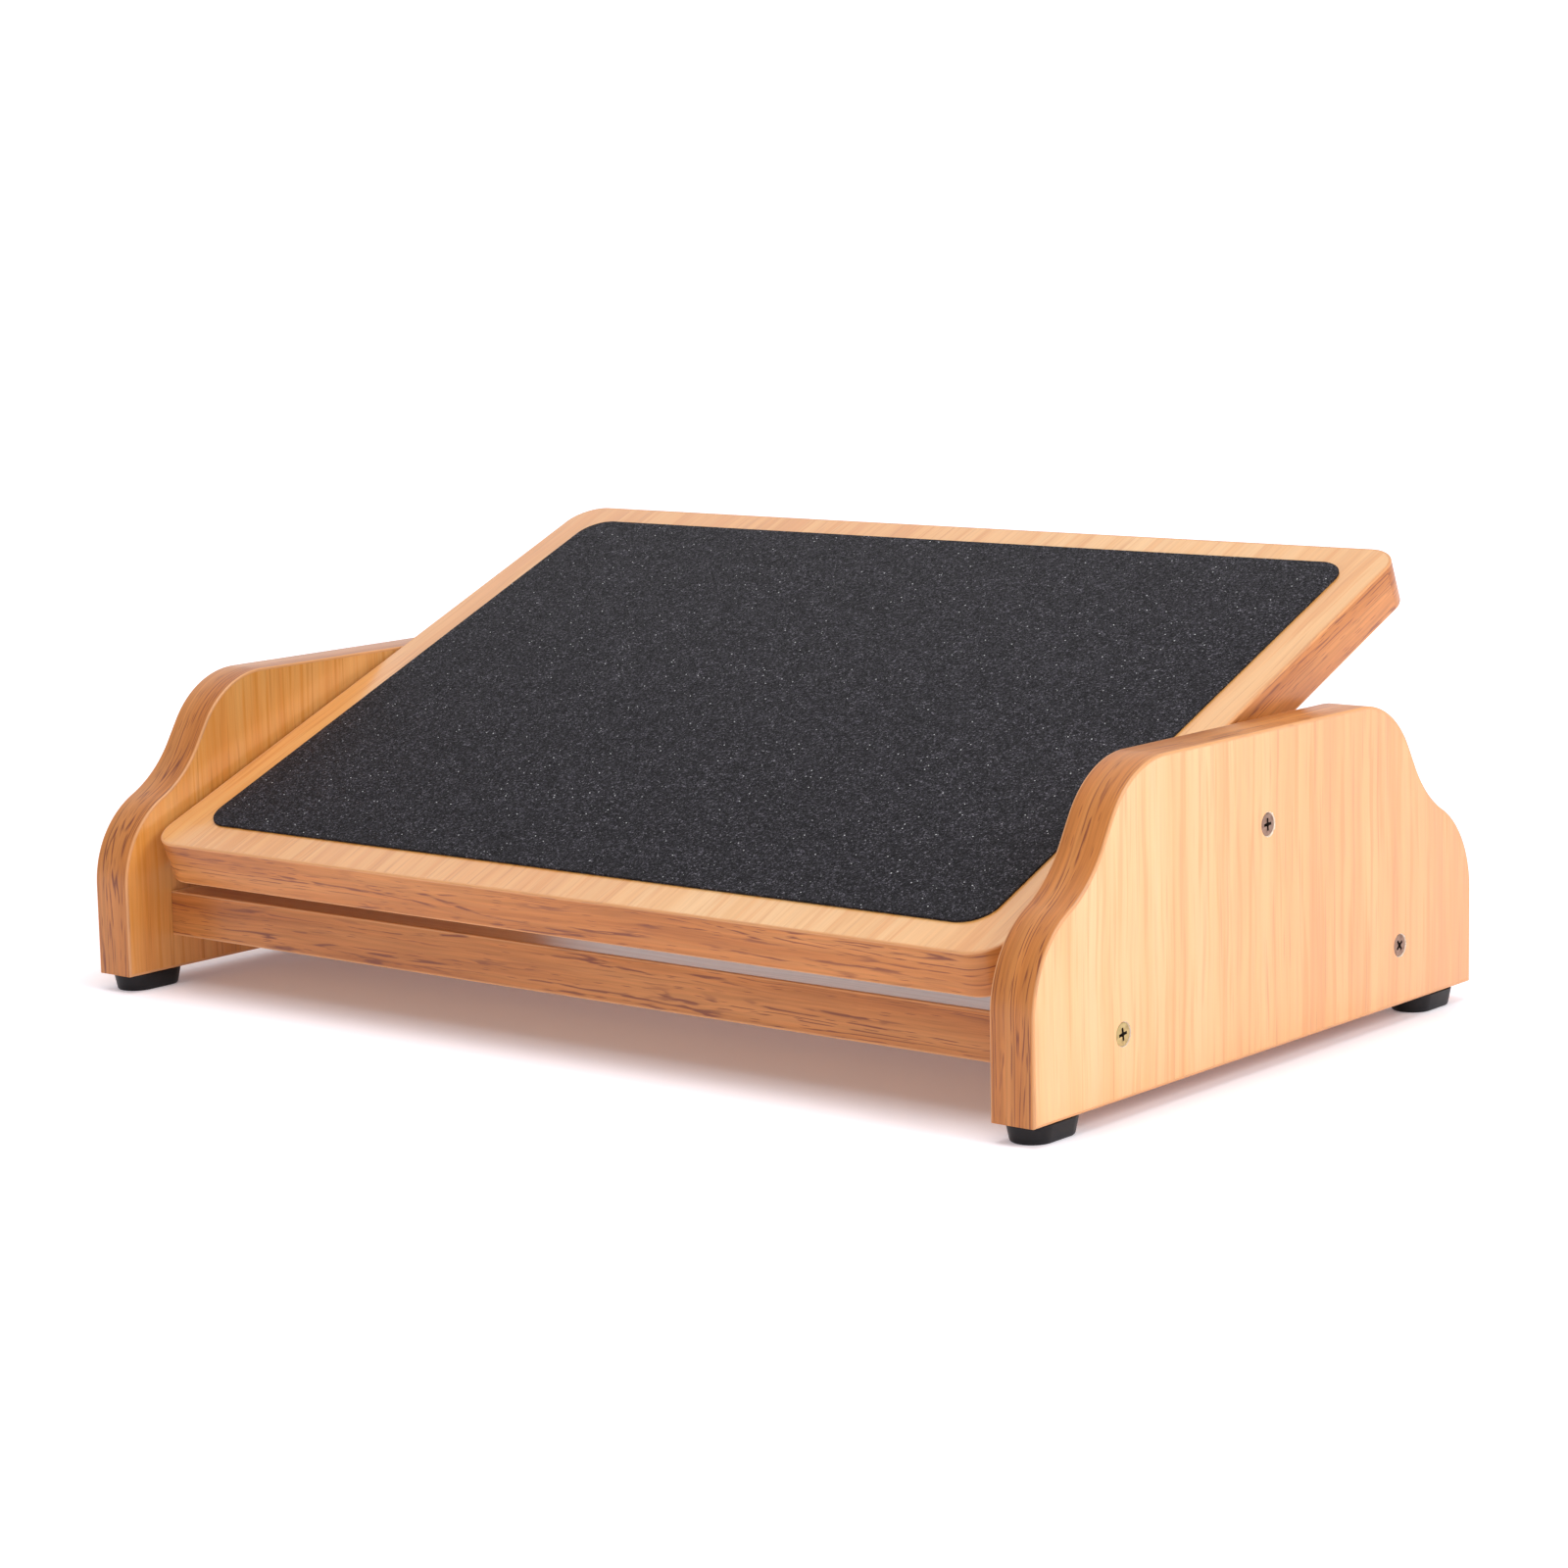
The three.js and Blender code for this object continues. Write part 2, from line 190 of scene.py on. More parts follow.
def new_finish(name, **sockets):
    """A material with its Principled shader, whose even values are set on the shader itself."""
    material = bpy.data.materials.new(name)
    material.use_nodes = True
    shader = material.node_tree.nodes["Principled BSDF"]
    for key, value in sockets.items():
        shader.inputs[key.replace("_", " ")].default_value = value
    return material, material.node_tree, shader


def streaks(tree, where, scale, seed, detail=3.0, roughness=0.55):
    """Noise drawn out along one direction, as grain is; scale is features per metre each way."""
    spot = (seed, seed * 1.7, seed * 0.3)
    drawn = node(tree, "Mapping", {"Vector": where, "Scale": scale, "Location": spot})
    noise = node(tree, "TexNoise", {"Vector": drawn.outputs[0], "Scale": 1.0, "Detail": detail,
                                    "Roughness": roughness})
    return noise.outputs[0]


def ramp(tree, value, stops):
    """A colour ramp; each stop is a place from 0 to 1 and a colour or a grey."""
    made = node(tree, "ValToRGB", {"Fac": value})
    points = made.color_ramp.elements
    while len(points) < len(stops):
        points.new(0.5)
    for point, (place, colour) in zip(points, stops):
        point.position = place
        point.color = (*colour, 1) if isinstance(colour, tuple) else (colour, colour, colour, 1)
    return made.outputs["Color"]


def mix(tree, factor, a, b, how="MIX"):
    """Mixes two colours, or multiplies one by the other."""
    made = node(tree, "Mix", {0: factor, 6: a, 7: b}, data_type="RGBA", blend_type=how)
    return made.outputs[2]


def worked(tree, a, b, how="MULTIPLY"):
    """One number worked with another."""
    return node(tree, "Math", {0: a, 1: b}, operation=how).outputs[0]


def fade(tree, value, start, end, first=0.0, last=1.0):
    """A number that goes from first to last while the value goes from start to end."""
    return node(tree, "MapRange", {"Value": value, "From Min": start, "From Max": end,
                                   "To Min": first, "To Max": last}, clamp=True).outputs[0]


def swayed(tree, where, sway, axis, reach):
    """The same place moved to and fro along one axis, so that the grain wanders."""
    shift = node(tree, "CombineXYZ", {axis: worked(tree, worked(tree, sway, 0.5, "SUBTRACT"), reach)})
    return node(tree, "VectorMath", {0: where, 1: shift.outputs[0]}, operation="ADD").outputs[0]


def relief(tree, shader, height, strength, distance=0.2 * MM):
    """Lets a pattern stand a little proud of the surface."""
    bump = node(tree, "Bump", {"Strength": strength, "Distance": distance, "Height": height})
    tree.links.new(bump.outputs[0], shader.inputs["Normal"])


def pale_wood_face():
    """Printed wood facing under a gloss coat: it drifts from straw to orange, partly print and partly painted
    shade, with tapered strokes.
    """
    material, tree, shader = new_finish("pale wood face", Roughness=0.34, IOR=1.5, Specular_IOR_Level=0.6,
                                        Coat_Weight=1.0, Coat_Roughness=0.22, Coat_IOR=1.5)
    where = node(tree, "TexCoord").outputs["Object"]
    sway = streaks(tree, where, (9, 14, 30), 3.0, detail=1.0)
    bent = swayed(tree, where, sway, "X", 5 * MM)
    across = node(tree, "SeparateXYZ", {"Vector": where}).outputs["X"]
    drift = node(tree, "Math", {0: worked(tree, across, TONE_DRIFT)}, operation="SINE").outputs[0]
    # The orange share: print drift, and on the right panel also painted shade towards the rear.
    orange = fade(tree, drift, 0.95, 0.1)
    bands = streaks(tree, bent, (75, 3.5, 30), 1.0, detail=2.0)
    strokes = streaks(tree, bent, (310, 11, 30), 5.0, detail=2.0)
    fine = streaks(tree, bent, (1050, 36, 30), 9.0, detail=2.0)
    lines = streaks(tree, bent, (700, 16, 30), 14.0, detail=2.0, roughness=0.6)
    straw = ramp(tree, bands, [(0.34, (0.82, 0.465, 0.180)), (0.50, (0.81, 0.435, 0.152)),
                               (0.62, (0.77, 0.380, 0.108)), (0.74, (0.81, 0.445, 0.160))])
    amber = ramp(tree, bands, [(0.34, (0.78, 0.375, 0.104)), (0.50, (0.76, 0.335, 0.080)),
                               (0.62, (0.70, 0.270, 0.050)), (0.74, (0.76, 0.340, 0.086))])
    colour = mix(tree, orange, straw, amber)
    strength = fade(tree, orange, 0.0, 1.0, 0.5, 1.0)
    stroke = worked(tree, ramp(tree, strokes, [(0.53, 0.0), (0.63, 0.95)]), strength)
    colour = mix(tree, stroke, colour, (0.70, 0.275, 0.045, 1))
    colour = mix(tree, 0.7, colour, ramp(tree, fine, [(0.36, 1.04), (0.64, 0.93)]), "MULTIPLY")
    line = worked(tree, ramp(tree, lines, [(0.59, 0.0), (0.67, 0.6)]), strength)
    colour = mix(tree, line, colour, (0.55, 0.200, 0.032, 1))
    tree.links.new(colour, shader.inputs["Base Color"])
    relief(tree, shader, worked(tree, fine, worked(tree, strokes, 0.6), "ADD"), 0.08)
    return material


def raw_core():
    """The board's pressed-fibre core, seen where it has been drilled."""
    material, tree, shader = new_finish("raw board core", Roughness=0.85)
    where = node(tree, "TexCoord").outputs["Object"]
    fibres = streaks(tree, where, (1800, 1800, 1800), 2.0, detail=4.0)
    colour = ramp(tree, fibres, [(0.3, (0.62, 0.47, 0.33)), (0.7, (0.90, 0.80, 0.66))])
    tree.links.new(colour, shader.inputs["Base Color"])
    relief(tree, shader, fibres, 0.5)
    return material


face_wood = pale_wood_face()
core_wood = raw_core()

# Local X runs to the rear, local Y up and local Z across the board.
upright = Matrix(((0, 0, 1, 0), (1, 0, 0, 0), (0, 1, 0, 0), (0, 0, 0, 1)))
# Local Z points out of a panel's outer face.
facing = {-1: Matrix.Rotation(-math.pi / 2, 4, "Y"), 1: Matrix.Rotation(math.pi / 2, 4, "Y")}
pivot = Vector(frame["joints"][0]["pos_m"])


def screw_seat(name, face, outwards, length=RAIL_SCREW_LENGTH, chips=0.0, seed=0):
    """A countersunk bore's cutter, whose rim may be chipped where the drill broke the facing."""
    seat = SCREW_HEAD + BORE_GAP
    bore = SCREW_SHANK + BORE_GAP
    past = 1 * MM
    chance = random.Random(seed)
    sides = 48
    low_side = [1.0 + 0.5 * math.cos(2 * math.pi * (k / sides - chance.uniform(0.2, 0.3)))
                for k in range(sides)]
    rim = [max(0.0, chips * (chance.uniform(0.35, 1.0) * low_side[k] - 0.35)) for k in range(sides)]
    # Each row: the radius, the height, and the share of the chips that it takes.
    profile = [(bore, -length - past, 0), (bore, bore - seat - HEAD_SINK, 0), (seat, -HEAD_SINK, 0),
               (seat, -0.12 * MM, 0.8), (seat, 0.02 * MM, 1.0), (seat + 0.1 * MM, past, 1.0)]
    rings = [[((r + share * rim[k]) * math.cos(2 * math.pi * k / sides),
               (r + share * rim[k]) * math.sin(2 * math.pi * k / sides), z) for k in range(sides)]
             for r, z, share in profile]
    place = Matrix.Translation(face) @ facing[outwards]
    return new_piece(name, skin(rings, caps=True), place, core_wood)


def screw_face(screw, outwards):
    """Where a screw's axis meets the outer face of its panel."""
    low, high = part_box(screw)
    return Vector((outwards * OUTER_X, (low.y + high.y) / 2, (low.z + high.z) / 2))


for side, outwards in SIDES.items():
    start = -OUTER_X if outwards < 0 else INNER_X
    place = Matrix.Translation((start, 0, panel_low.z)) @ upright
    panel = slab(f"{side}_side_panel", panel_outline(STRIP + SEAM), 0, BOARD, place, CUT_FROM[side])
    pivot_face = Vector((outwards * OUTER_X, pivot.y, pivot.z))
    seats = [screw_seat("pivot_seat", pivot_face, outwards, PIVOT_SCREW_LENGTH,
                        CHIPS["pivot"], CHIP_SEEDS["pivot"])]
    for end in ENDS:
        rail_face = screw_face(f"rail_screw_{end}_{side}", outwards)
        seats.append(screw_seat("rail_seat", rail_face, outwards, chips=CHIPS[end], seed=CHIP_SEEDS[end]))
    carve(panel, seats)
    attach(panel, "base")
    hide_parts(f"side_panel_{side}")

# ----------------------------------------------------------- side panel edging
# A printed strip of plastic edging, 1 mm thick and a browner wood than the faces,
# is glued round each panel and trimmed flush. The trimmer rounds both its edges,
# where a thin lighter line is painted: partly the strip's plain plastic, partly a painted highlight.

ARRIS = 0.6 * MM
ARRIS_STEPS = 5
REEL_LENGTH = 40            # metres of edging on a reel


def brown_strip():
    """Printed oak edging: brown, with clusters of thin dark broken lines and short dashes."""
    material, tree, shader = new_finish("brown wood strip", Roughness=0.30, IOR=1.5, Specular_IOR_Level=0.35)
    where = node(tree, "UVMap", uv_map="grain").outputs[0]
    sway = streaks(tree, where, (12, 24, 1), 4.0, detail=3.0)
    bent = swayed(tree, where, sway, "Y", 4 * MM)
    bands = streaks(tree, bent, (5, 120, 1), 1.0, detail=2.0)
    colour = ramp(tree, bands, [(0.32, (0.62, 0.246, 0.070)), (0.52, (0.56, 0.202, 0.050)),
                                (0.70, (0.46, 0.150, 0.035))])
    grain = streaks(tree, bent, (26, 900, 1), 6.0, detail=3.0, roughness=0.6)
    colour = mix(tree, 1.0, colour, ramp(tree, grain, [(0.32, 1.08), (0.66, 0.84)]), "MULTIPLY")
    clusters = ramp(tree, streaks(tree, bent, (7, 150, 1), 11.0, detail=1.0), [(0.38, 0.2), (0.52, 1.0)])
    year_rings = streaks(tree, bent, (4.5, 110, 1), 8.0, detail=1.6, roughness=0.4)
    contour = worked(tree, year_rings, 0.035, "PINGPONG")
    thin = ramp(tree, contour, [(0.005, 1.0), (0.013, 0.0)])
    broken = ramp(tree, streaks(tree, bent, (75, 900, 1), 13.0, detail=1.0), [(0.43, 0.0), (0.53, 1.0)])
    dark = mix(tree, 1.0, mix(tree, 1.0, thin, broken, "MULTIPLY"), clusters, "MULTIPLY")
    colour = mix(tree, dark, colour, (0.24, 0.070, 0.030, 1))
    cells = node(tree, "Mapping", {"Vector": bent, "Scale": (85, 1600, 1)})
    dashes = node(tree, "TexVoronoi", {"Vector": cells.outputs[0], "Scale": 1.0, "Randomness": 1.0})
    picked = ramp(tree, node(tree, "SeparateColor", {"Color": dashes.outputs["Color"]}).outputs[0],
                  [(0.60, 0.0), (0.63, 1.0)])
    short = ramp(tree, dashes.outputs["Distance"], [(0.14, 1.0), (0.27, 0.0)])
    dash = mix(tree, 1.0, short, picked, "MULTIPLY")
    colour = mix(tree, worked(tree, dash, 0.9), colour, (0.25, 0.073, 0.031, 1))
    # A lighter line along both rounded edges: partly the strip's plain plastic where the trimmer cut through the
    # print, partly a painted highlight.
    over = node(tree, "SeparateXYZ", {"Vector": where}).outputs["Y"]
    edge = worked(tree, over, BOARD / 2, "PINGPONG")
    worn = worked(tree, edge, worked(tree, sway, 0.5 * MM), "SUBTRACT")
    pale_core_and_highlight = fade(tree, worn, 0.2 * MM, 0.7 * MM, 1.0, 0.0)
    colour = mix(tree, worked(tree, pale_core_and_highlight, 0.65), colour, (0.80, 0.42, 0.19, 1))
    tree.links.new(colour, shader.inputs["Base Color"])
    relief(tree, shader, grain, 0.12)
    return material


reel = random.Random(7)     # each strip is cut from a different stretch of the reel


def edge_strip(name, outline, bottom, top, place, closed=True):
    """A strip round an outline: flat outside, with both arrises rounded."""
    low = arc((ARRIS, bottom + ARRIS), ARRIS, -math.pi / 2, -math.pi, ARRIS_STEPS)
    high = arc((ARRIS, top - ARRIS), ARRIS, math.pi, math.pi / 2, ARRIS_STEPS)
    profile = [(STRIP, bottom), *low, *high, (STRIP, top)]
    loops = [outline(inset) for inset, _ in profile]
    rings = [[(*loop[i], z) for loop, (_, z) in zip(loops, profile)] for i in range(len(loops[0]))]
    outer = outline(0.0)
    travelled = [reel.uniform(0, REEL_LENGTH)]
    for here, there in zip(outer, outer[1:] + outer[:1]):
        travelled.append(travelled[-1] + math.dist(here, there))
    girth = [0.0, *[z - bottom for _, z in profile[1:]], top - bottom]
    shape = skin(rings, closed_along=closed, caps=not closed, uv=(travelled, girth))
    return new_piece(name, shape, place, strip_wood)


strip_wood = brown_strip()
for side, outwards in SIDES.items():
    start = -OUTER_X if outwards < 0 else INNER_X
    place = Matrix.Translation((start, 0, panel_low.z)) @ upright
    strip = edge_strip(f"{side}_side_strip", panel_outline, 0, BOARD, place)
    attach(strip, "base")
    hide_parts(f"side_edging_{side}")

# ---------------------------------------------------------------- cross rails
# Two flat boards, 57 mm wide, tie the panels together front and rear. Their grain
# runs lengthwise, their ends butt against the panels on two dowels and a screw,
# and a strip covers each long edge.

DOWEL_RADIUS = 4 * MM
DOWEL_GAP = 0.15 * MM
DOWEL_SPACE = 0.75 * MM     # past each end of a dowel, for the glue
RAIL_CUT_FROM = {"front": (0.7, 0.5), "rear": (0.9, 0.5)}
EDGE_STEPS = 24

# Local Y runs along the rail and local X to the front.
lengthwise = Matrix(((0, 1, 0, 0), (-1, 0, 0, 0), (0, 0, 1, 0), (0, 0, 0, 1)))


def turned(name, profile, sides, place, material, flutes=0, flute_depth=0.0):
    """A round solid about Z from (radius, height) pairs; it may be fluted like a dowel."""
    rings = []
    for radius, height in profile:
        ring = []
        for k in range(sides):
            turn = 2 * math.pi * k / sides
            r = radius - flute_depth * (0.5 - 0.5 * math.cos(flutes * turn))
            ring.append((r * math.cos(turn), r * math.sin(turn), height))
        rings.append(ring)
    return new_piece(name, skin(rings, caps=True), place, material)


def dowel_hole(name, dowel):
    """The cutter for a dowel's blind hole, a little deeper than the dowel at both ends."""
    low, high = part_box(dowel)
    half = (high.x - low.x) / 2 + DOWEL_SPACE
    radius = DOWEL_RADIUS + DOWEL_GAP
    place = Matrix.Translation((low + high) / 2) @ facing[1]
    return turned(name, [(radius, -half), (radius, half)], 32, place, core_wood)


def rectangle(half_x, half_y):
    """A rectangle's corners, anticlockwise."""
    return [(-half_x, -half_y), (half_x, -half_y), (half_x, half_y), (-half_x, half_y)]


def straight_edge(half_length):
    """Gives a straight edge's line at any distance inwards, as an outline does."""
    shares = [2 * i / EDGE_STEPS - 1 for i in range(EDGE_STEPS + 1)]
    return lambda inset: [(half_length * share, inset) for share in shares]


def strip_place(middle, low, high, facing_way):
    """A long edge's frame: the origin on its outer side and local Y inwards."""
    place = Matrix.Translation((middle.x, low.y if facing_way < 0 else high.y, middle.z))
    return place @ Matrix.Rotation(math.pi, 4, "Z") if facing_way > 0 else place


for end in ENDS:
    low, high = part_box(f"{end}_rail")
    middle = (low + high) / 2
    half_length = (high.x - low.x) / 2
    half_width = (high.y - low.y) / 2
    half_board = BOARD / 2
    rail = slab(f"{end}_cross_rail", rectangle(half_width, half_length), -half_board, half_board,
                Matrix.Translation(middle) @ lengthwise, RAIL_CUT_FROM[end])
    holes = []
    for side, outwards in SIDES.items():
        holes.append(screw_seat("rail_bore", screw_face(f"rail_screw_{end}_{side}", outwards), outwards))
        holes += [dowel_hole("dowel_bore", f"dowel_{end}_{side}_{i}") for i in (1, 2)]
    carve(rail, holes)
    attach(rail, "base")
    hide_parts(f"{end}_rail")

    for edge, facing_way in ENDS.items():
        low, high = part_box(f"{end}_rail_edging_{edge}")
        place = strip_place(middle, low, high, facing_way)
        strip = edge_strip(f"{end}_rail_{edge}_strip", straight_edge(half_length), -half_board, half_board,
                           place, closed=False)
        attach(strip, "base")
        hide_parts(f"{end}_rail_edging_{edge}")

# --------------------------------------------------------------------- dowels
# Eight fluted beech dowels, 8 mm thick, glued into the rails' ends and the panels.
# The flutes let the glue escape and both ends are chamfered.

DOWEL_CHAMFER = 1 * MM
DOWEL_FLUTE = 0.3 * MM
DOWEL_FLUTES = 12


def beech():
    """Pale close-grained beech with short flecks, the grain along the dowel."""
    material, tree, shader = new_finish("beech dowel", Roughness=0.7)
    where = node(tree, "TexCoord").outputs["Object"]
    grain = streaks(tree, where, (900, 900, 40), 4.0)
    specks = streaks(tree, where, (2600, 2600, 500), 8.0, detail=1.0)
    flecks = ramp(tree, specks, [(0.62, 0.0), (0.70, 1.0)])
    colour = ramp(tree, grain, [(0.35, (0.74, 0.50, 0.28)), (0.65, (0.60, 0.37, 0.19))])
    colour = mix(tree, worked(tree, flecks, 0.5), colour, (0.36, 0.19, 0.09, 1))
    tree.links.new(colour, shader.inputs["Base Color"])
    relief(tree, shader, grain, 0.3)
    return material


beech_wood = beech()
for end in ENDS:
    for side in SIDES:
        for i in (1, 2):
            low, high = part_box(f"dowel_{end}_{side}_{i}")
            half = (high.x - low.x) / 2
            pip, tip = 0.2 * MM, DOWEL_RADIUS - DOWEL_CHAMFER
            profile = [(pip, -half), (tip, -half), (DOWEL_RADIUS, DOWEL_CHAMFER - half),
                       (DOWEL_RADIUS, half - DOWEL_CHAMFER), (tip, half), (pip, half)]
            place = Matrix.Translation((low + high) / 2) @ facing[1]
            dowel = turned(f"{end}_{side}_dowel_{i}", profile, 96, place, beech_wood,
                           DOWEL_FLUTES, DOWEL_FLUTE)
            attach(dowel, "base")
            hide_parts(f"dowel_{end}_{side}_{i}")

# ---------------------------------------------------------------- rail screws
# Countersunk cross-head wood screws, 4.3 by 50 mm, driven through each panel into
# a rail's end. The front pair is yellow zinc, the rear pair an antique brown.

THREAD_ROOT = 0.68          # of the shank's radius
THREAD_WIDTH = 0.24         # of the pitch, each side of the crest
THREAD_ROWS = 8             # in each turn
SCREW_SIDES = 24
SCREW_TURN = {"front": 8, "rear": 38}    # degrees, where the driver left each cross


def plated(name, light, deep, roughness):
    """Plated steel, a little uneven in tone and gloss, over a faintly rough turned surface."""
    material, tree, shader = new_finish(name, Metallic=1.0)
    where = node(tree, "TexCoord").outputs["Object"]
    cloud = streaks(tree, where, (420, 420, 420), 3.0, detail=3.0)
    tree.links.new(ramp(tree, cloud, [(0.35, light), (0.65, deep)]), shader.inputs["Base Color"])
    tree.links.new(ramp(tree, cloud, [(0.3, roughness), (0.7, roughness + 0.12)]), shader.inputs["Roughness"])
    turning = streaks(tree, where, (3000, 3000, 3000), 6.0, detail=2.0)
    relief(tree, shader, turning, 0.15, 0.1 * MM)
    return material


def painted_recess_shade():
    """Painted shade for a driver recess: a near-black, dull and lumpy finish."""
    material, tree, shader = new_finish("painted recess shade", Roughness=0.75, Specular_IOR_Level=0.2)
    where = node(tree, "TexCoord").outputs["Object"]
    lumps = streaks(tree, where, (2500, 2500, 2500), 4.0, detail=3.0)
    colour = ramp(tree, lumps, [(0.35, (0.016, 0.010, 0.007)), (0.65, (0.040, 0.026, 0.018))])
    tree.links.new(colour, shader.inputs["Base Color"])
    relief(tree, shader, lumps, 0.4, 0.1 * MM)
    return material


recess_shade_finish = painted_recess_shade()


def cross_recess(head, depth):
    """The driver recess: two tapered blades and the cone where they meet."""
    # Each row: the height, the blade's reach as a share of the head, and half its thickness in mm.
    taper = ((-depth, 0.16, 0.35), (0.0, 0.56, 0.55), (0.3 * MM, 0.60, 0.60))
    blades = []
    for turn in (0.0, math.pi / 2):
        rings = []
        for z, reach, half in taper:
            a, b = reach * head, half * MM * head / SCREW_HEAD
            rings.append([(-a, -b, z), (a, -b, z), (a, b, z), (-a, b, z)])
        # The blades and cone pass the painted recess shade onto the recess walls that they cut.
        blades.append(new_piece("blade", skin(rings, caps=True), Matrix.Rotation(turn, 4, "Z"), recess_shade_finish))
    cone = [(0.25 * MM, -1.15 * depth), (0.62 * MM, -depth), (1.0 * MM, 0.3 * MM)]
    blades.append(turned("recess_cone", cone, 32, Matrix.Identity(4), recess_shade_finish))
    return blades


def threaded(radius, root, start, end, pitch, tip):
    """Rings of a wood screw's thread from start down to end, drawn down to a point over tip."""
    rows = int((start - end) / (pitch / THREAD_ROWS))
    rings = []
    for i in range(rows + 1):
        z = start + (end - start) * i / rows
        taper = 0.12 + 0.88 * min(1.0, (z - end) / tip)
        growth = min(1.0, (start - z) / (pitch * 1.2))
        ring = []
        for k in range(SCREW_SIDES):
            turn = k / SCREW_SIDES
            from_crest = abs((z / pitch - turn) % 1.0 - 0.5)
            crest = max(0.0, 1 - from_crest / THREAD_WIDTH) * growth
            r = (root + (radius - root) * crest) * taper
            ring.append((r * math.cos(2 * math.pi * turn), r * math.sin(2 * math.pi * turn), z))
        rings.append(ring)
    return rings


def ring_of(radius, z, sides=SCREW_SIDES):
    """One round ring of points at a height."""
    return [(radius * math.cos(2 * math.pi * k / sides), radius * math.sin(2 * math.pi * k / sides), z)
            for k in range(sides)]


def countersunk_screw(name, place, finish, length, head=SCREW_HEAD, shank=SCREW_SHANK):
    """A whole screw, its head's top at 0, pointing down Z and plain for its first 40 percent."""
    plain = -0.4 * length
    rings = [ring_of(0.05 * MM, 0), ring_of(head - 0.25 * MM, 0), ring_of(head - 0.06 * MM, -0.06 * MM),
             ring_of(head, -0.22 * MM), ring_of(head - 0.08 * MM, -0.38 * MM),
             ring_of(shank * 0.9, shank * 0.9 - head - 0.3 * MM), ring_of(shank * 0.82, plain)]
    rings += threaded(shank, THREAD_ROOT * shank, plain - 0.1 * MM, -length, pitch=2.1 * MM, tip=5 * MM)
    screw = new_piece(name, skin(rings, caps=True), Matrix.Identity(4), finish)
    carve(screw, cross_recess(head, 2.1 * MM))
    screw.matrix_world = place
    return screw


yellow_zinc = plated("yellow zinc", (0.56, 0.44, 0.20), (0.40, 0.30, 0.13), 0.30)
antique_brown = plated("antique brown plate", (0.36, 0.24, 0.18), (0.24, 0.145, 0.105), 0.34)
for end in ENDS:
    for side, outwards in SIDES.items():
        where = screw_face(f"rail_screw_{end}_{side}", outwards) - Vector((outwards * HEAD_SINK, 0, 0))
        spin = Matrix.Rotation(math.radians(SCREW_TURN[end]), 4, "Z")
        place = Matrix.Translation(where) @ facing[outwards] @ spin
        plating = yellow_zinc if end == "front" else antique_brown
        screw = countersunk_screw(f"{end}_{side}_rail_screw", place, plating, RAIL_SCREW_LENGTH)
        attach(screw, "base")
        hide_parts(f"rail_screw_{end}_{side}")

# ----------------------------------------------------------------------- feet
# Four moulded black rubber feet with round ends, narrower at the floor, each under
# a panel's edge and held by one screw that sits deep in a counterbore.

FOOT_DRAFT = 1.25 * MM
FOOT_BORE = 1.85 * MM
FOOT_COUNTERBORE = 3.45 * MM
FOOT_SCREW_SEAT = 3.2 * MM
foot_low, foot_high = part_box("foot_front_left")
FOOT_HEIGHT = foot_high.z
FOOT_HALF_WIDTH = (foot_high.x - foot_low.x) / 2
FOOT_STRETCH = (foot_high.y - foot_low.y) / 2 - FOOT_HALF_WIDTH


def black_rubber():
    """Moulded rubber: nearly black, softly shiny, with a faint pebble and a dusty bloom."""
    material, tree, shader = new_finish("black rubber", IOR=1.5, Specular_IOR_Level=0.22)
    where = node(tree, "TexCoord").outputs["Object"]
    pebble = streaks(tree, where, (2200, 2200, 2200), 5.0, detail=3.0)
    bloom = streaks(tree, where, (90, 90, 90), 9.0, detail=4.0)
    colour = ramp(tree, bloom, [(0.35, (0.006, 0.0055, 0.0065)), (0.75, (0.014, 0.013, 0.015))])
    tree.links.new(colour, shader.inputs["Base Color"])
    tree.links.new(ramp(tree, bloom, [(0.3, 0.34), (0.7, 0.48)]), shader.inputs["Roughness"])
    relief(tree, shader, pebble, 0.12)
    return material


def stadium(radius, stretch, z, sides=64):
    """A ring with round ends, drawn out along Y."""
    ring = []
    for k in range(sides):
        turn = 2 * math.pi * (k + 0.5) / sides
        x, y = radius * math.cos(turn), radius * math.sin(turn)
        ring.append((x, y + math.copysign(stretch, y), z))
    return ring


def foot_rings():
    """From the bore's top over the rounded outside, under the foot and back up the counterbore."""
    wide, slim = FOOT_HALF_WIDTH, FOOT_HALF_WIDTH - FOOT_DRAFT
    outside = [(wide - 0.5 * MM, FOOT_HEIGHT), (wide - 0.12 * MM, FOOT_HEIGHT - 0.15 * MM),
               (wide - 0.06 * MM, FOOT_HEIGHT - 0.6 * MM), (slim + 0.10 * MM, 0.9 * MM),
               (slim - 0.06 * MM, 0.4 * MM), (slim - 0.35 * MM, 0.1 * MM), (slim - 0.8 * MM, 0)]
    inside = [(FOOT_COUNTERBORE + 0.3 * MM, 0), (FOOT_COUNTERBORE, 0.3 * MM),
              (FOOT_COUNTERBORE, FOOT_SCREW_SEAT), (FOOT_BORE, FOOT_SCREW_SEAT)]
    return ([stadium(FOOT_BORE, 0, FOOT_HEIGHT)]
            + [stadium(radius, FOOT_STRETCH, z) for radius, z in outside]
            + [stadium(radius, 0, z) for radius, z in inside])


rubber = black_rubber()
for end in ENDS:
    for side in SIDES:
        low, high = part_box(f"foot_{end}_{side}")
        place = Matrix.Translation(((low.x + high.x) / 2, (low.y + high.y) / 2, 0))
        foot = new_piece(f"{end}_{side}_foot", skin(foot_rings(), closed_along=True), place, rubber)
        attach(foot, "base")
        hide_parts(f"foot_{end}_{side}")

# ---------------------------------------------------------------- foot screws
# Short pan-head wood screws, 3.2 mm thick, bright plated, driven up through the
# feet into the panels' lower edges.

PAN_HEAD = 3.2 * MM         # the head's radius
PAN_RISE = 2 * MM
PAN_SHANK = 1.6 * MM
upside_down = Matrix.Rotation(math.pi, 4, "X")


